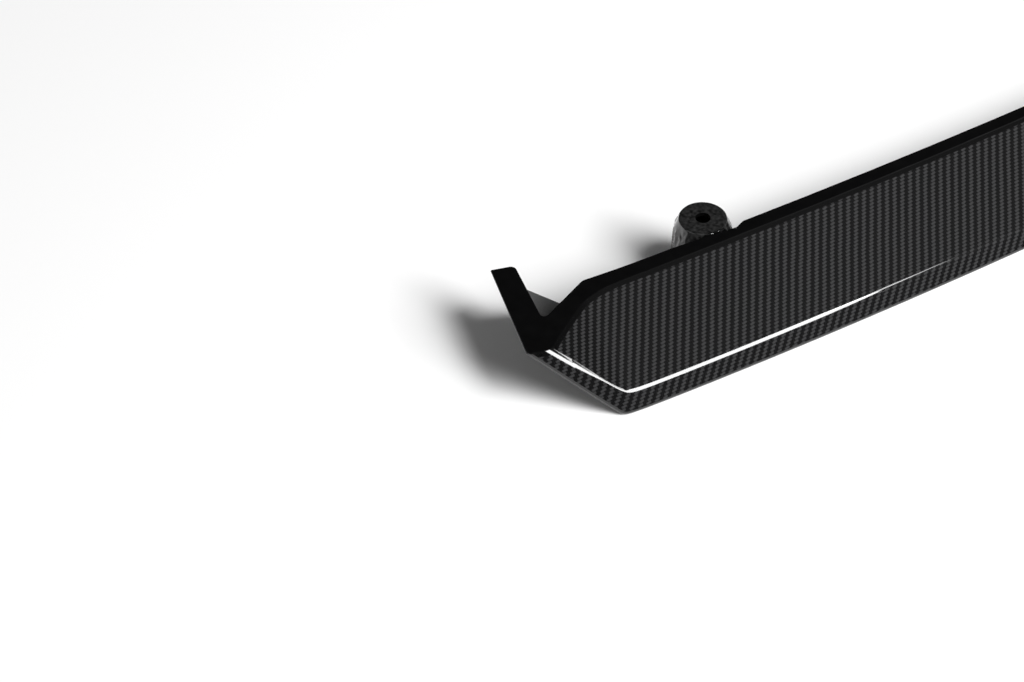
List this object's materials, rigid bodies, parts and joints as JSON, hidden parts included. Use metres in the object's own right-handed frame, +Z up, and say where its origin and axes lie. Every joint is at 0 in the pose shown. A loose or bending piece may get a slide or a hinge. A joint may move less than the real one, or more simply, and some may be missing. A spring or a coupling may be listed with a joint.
{
  "type": "front splitter lip",
  "caption": "Curved hollow splitter lip moulding with a sloping woven face, steep lip, level back flange, notched end strip and hollow screw bosses.",
  "frame": {"origin": "centre of the bounding box, on the underside of the floor", "axes": "+X along the lip away from its notched end, +Y back towards the car, +Z up"},
  "size_m": [0.6112, 0.1394, 0.0498],
  "materials": {
    "gloss_laminate": "clear gloss lacquer over black twill weave"
  },
  "bodies": {
    "root": {"splitter_lip": "gloss_laminate"}
  },
  "joints": []
}
